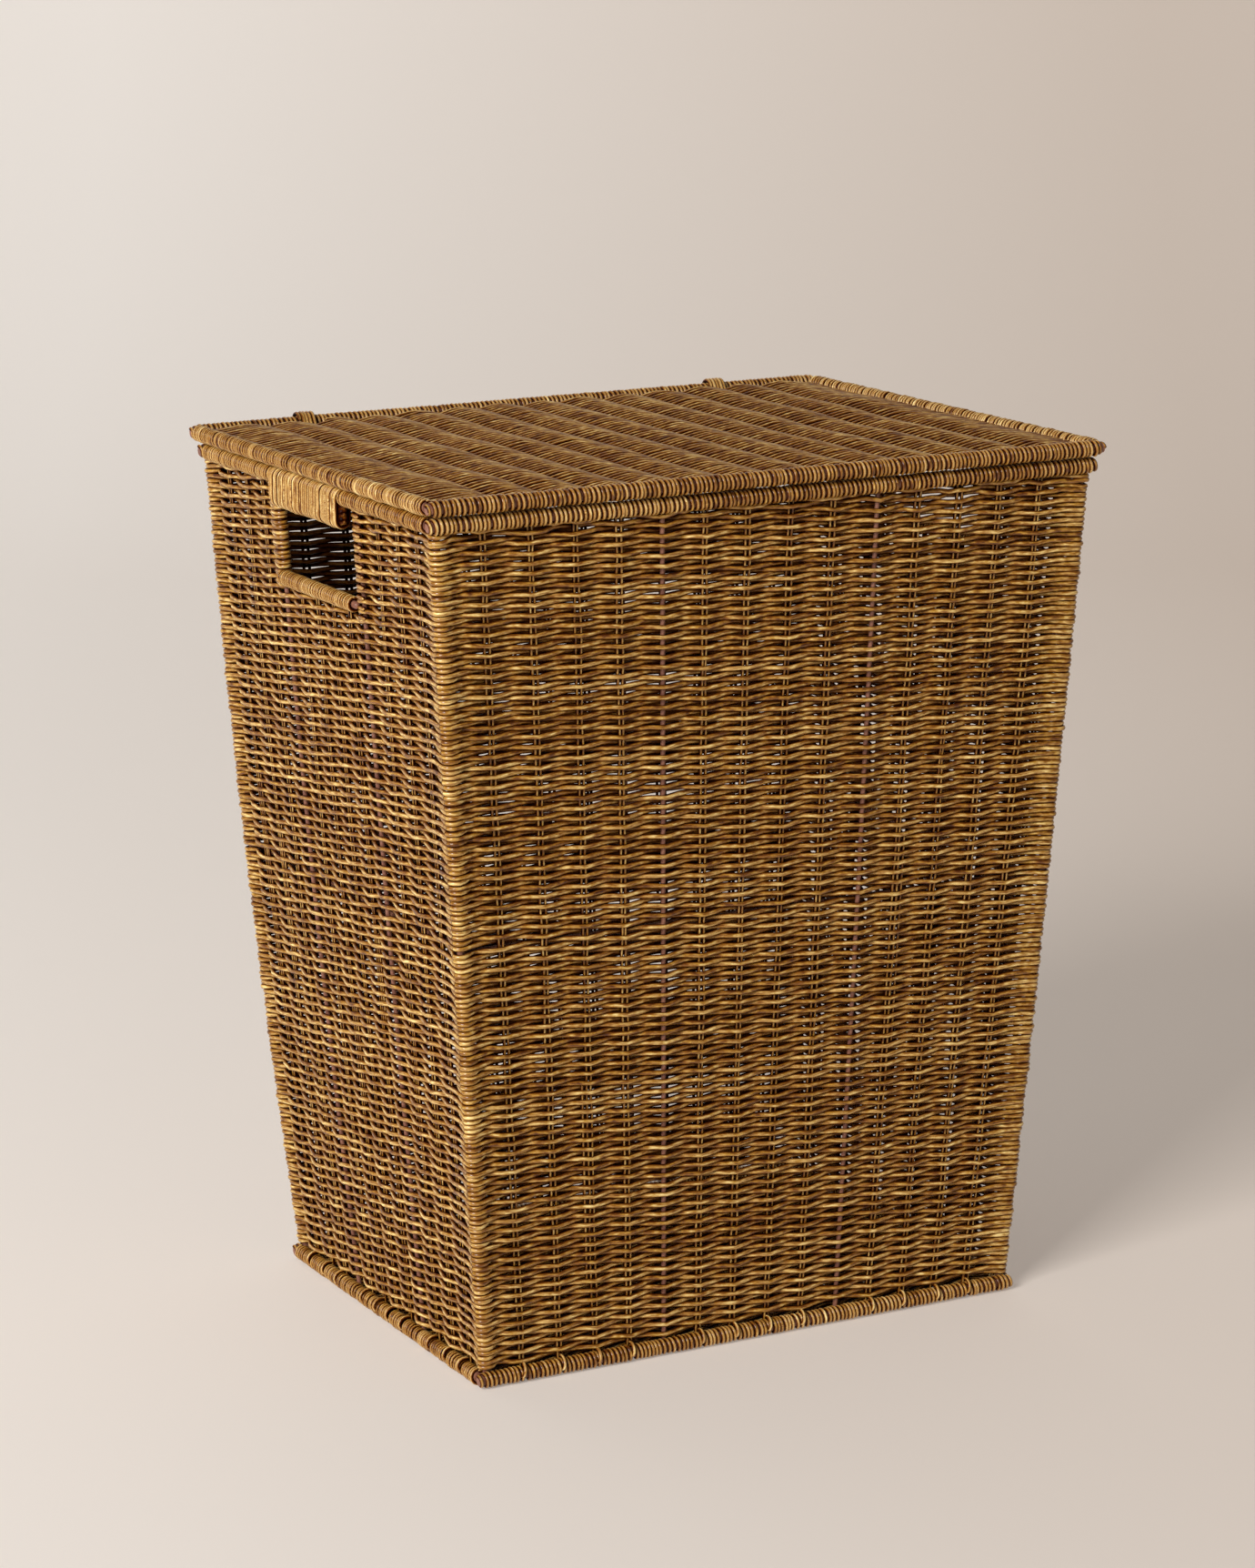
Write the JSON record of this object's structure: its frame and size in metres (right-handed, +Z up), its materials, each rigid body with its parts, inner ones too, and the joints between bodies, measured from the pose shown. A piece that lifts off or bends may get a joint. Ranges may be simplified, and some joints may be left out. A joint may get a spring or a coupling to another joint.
{
  "type": "laundry hamper with lid",
  "caption": "Tapered rectangular hamper of plain-woven rattan with wrapped rims, a handle opening in each short side and a flat woven lid hinged at the back.",
  "frame": {"origin": "on the floor, under the middle of the whole outline with the lid shut and its hinge loops included", "axes": "+Z up; the wide front wall faces -Y; +X to the right seen from the front; the lid's hinge runs along X at the back (+Y)"},
  "size_m": [0.5006, 0.3985, 0.6027],
  "materials": {
    "rattan_weave": "satin",
    "rattan_wrap": "satin",
    "frame_rod": "satin"
  },
  "bodies": {
    "basket": {"base_rod_front": "frame_rod", "base_rod_back": "frame_rod", "base_rod_left": "frame_rod", "base_rod_right": "frame_rod", "rim_rod_front": "frame_rod", "rim_rod_back": "frame_rod", "rim_rod_left": "frame_rod", "rim_rod_right": "frame_rod", "hoop_rod_front": "frame_rod", "hoop_rod_back": "frame_rod", "hoop_rod_left": "frame_rod", "hoop_rod_right": "frame_rod", "corner_post_front_left": "frame_rod", "corner_post_front_right": "frame_rod", "corner_post_back_left": "frame_rod", "corner_post_back_right": "frame_rod", "upright_front_1": "frame_rod", "upright_front_2": "frame_rod", "upright_back_1": "frame_rod", "upright_back_2": "frame_rod", "upright_left_1": "frame_rod", "upright_left_2": "frame_rod", "upright_right_1": "frame_rod", "upright_right_2": "frame_rod", "base_wrap_front": "rattan_wrap", "base_wrap_back": "rattan_wrap", "base_wrap_left": "rattan_wrap", "base_wrap_right": "rattan_wrap", "rim_wrap_front": "rattan_wrap", "rim_wrap_back": "rattan_wrap", "rim_wrap_left_front": "rattan_wrap", "rim_wrap_left_back": "rattan_wrap", "rim_wrap_right_front": "rattan_wrap", "rim_wrap_right_back": "rattan_wrap", "grip_rod_left": "frame_rod", "grip_rod_right": "frame_rod", "sill_rod_left": "frame_rod", "sill_rod_right": "frame_rod", "grip_wrap_left": "rattan_wrap", "grip_wrap_right": "rattan_wrap", "sill_wrap_left": "rattan_wrap", "sill_wrap_right": "rattan_wrap", "wall_front": "rattan_weave", "wall_back": "rattan_weave", "wall_left": "rattan_weave", "wall_right": "rattan_weave", "floor_panel": "rattan_weave", "hinge_loop_left": "rattan_wrap", "hinge_loop_right": "rattan_wrap"},
    "lid": {"lid_rod_front": "frame_rod", "lid_rod_back": "frame_rod", "lid_rod_left": "frame_rod", "lid_rod_right": "frame_rod", "lid_wrap_front": "rattan_wrap", "lid_wrap_back": "rattan_wrap", "lid_wrap_left": "rattan_wrap", "lid_wrap_right": "rattan_wrap", "lid_panel": "rattan_weave", "lid_brace": "frame_rod"}
  },
  "joints": [
    {"name": "lid_hinge", "type": "hinge", "parent": "basket", "child": "lid", "pos_m": [0, 0.1906, 0.594], "axis": [-1, 0, 0], "range_deg": [0, 240]}
  ]
}
